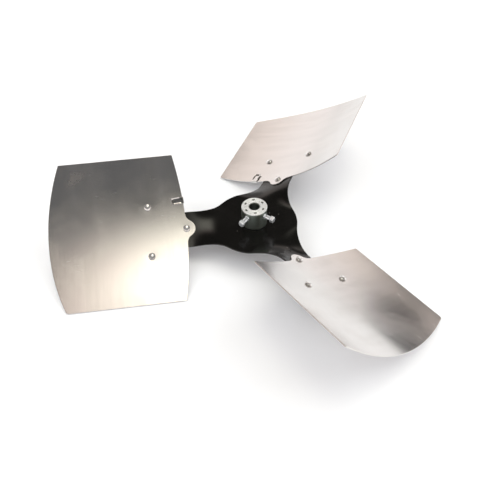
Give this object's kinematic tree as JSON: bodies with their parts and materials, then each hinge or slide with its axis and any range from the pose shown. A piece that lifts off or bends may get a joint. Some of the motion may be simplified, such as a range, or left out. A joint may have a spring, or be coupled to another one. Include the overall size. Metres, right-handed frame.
{
  "type": "propeller fan blade",
  "caption": "Axial fan blade: pitched and rolled sheet blades riveted to a pressed spider, with a bored hub and set screws.",
  "frame": {"origin": "on the bore's axis, in the plane of the spider's top face", "axes": "+Z along the bore towards the hub's free end; the first blade's arm points along -X; the fan rests on the low edges of its blades, below the origin"},
  "size_m": [0.4481, 0.4886, 0.0902],
  "materials": {
    "blade_aluminium": "satin mill finish",
    "spider_black_paint": "glossy black paint on pressed steel",
    "hub_zinc": "turned and zinc plated",
    "screw_zinc": "bright zinc plate",
    "rivet_steel": "plated steel",
    "clip_steel": "dark spring steel"
  },
  "bodies": {
    "root": {"spider": "spider_black_paint", "hub": "hub_zinc", "set_screw_1": "screw_zinc", "set_screw_2": "screw_zinc", "blade_1": "blade_aluminium", "blade_2": "blade_aluminium", "blade_3": "blade_aluminium", "rivet_1_tab": "rivet_steel", "rivet_1_raised": "rivet_steel", "rivet_1_low": "rivet_steel", "rivet_2_tab": "rivet_steel", "rivet_2_raised": "rivet_steel", "rivet_2_low": "rivet_steel", "rivet_3_tab": "rivet_steel", "rivet_3_raised": "rivet_steel", "rivet_3_low": "rivet_steel", "balance_clip_1": "clip_steel", "balance_clip_2": "clip_steel"}
  },
  "joints": []
}
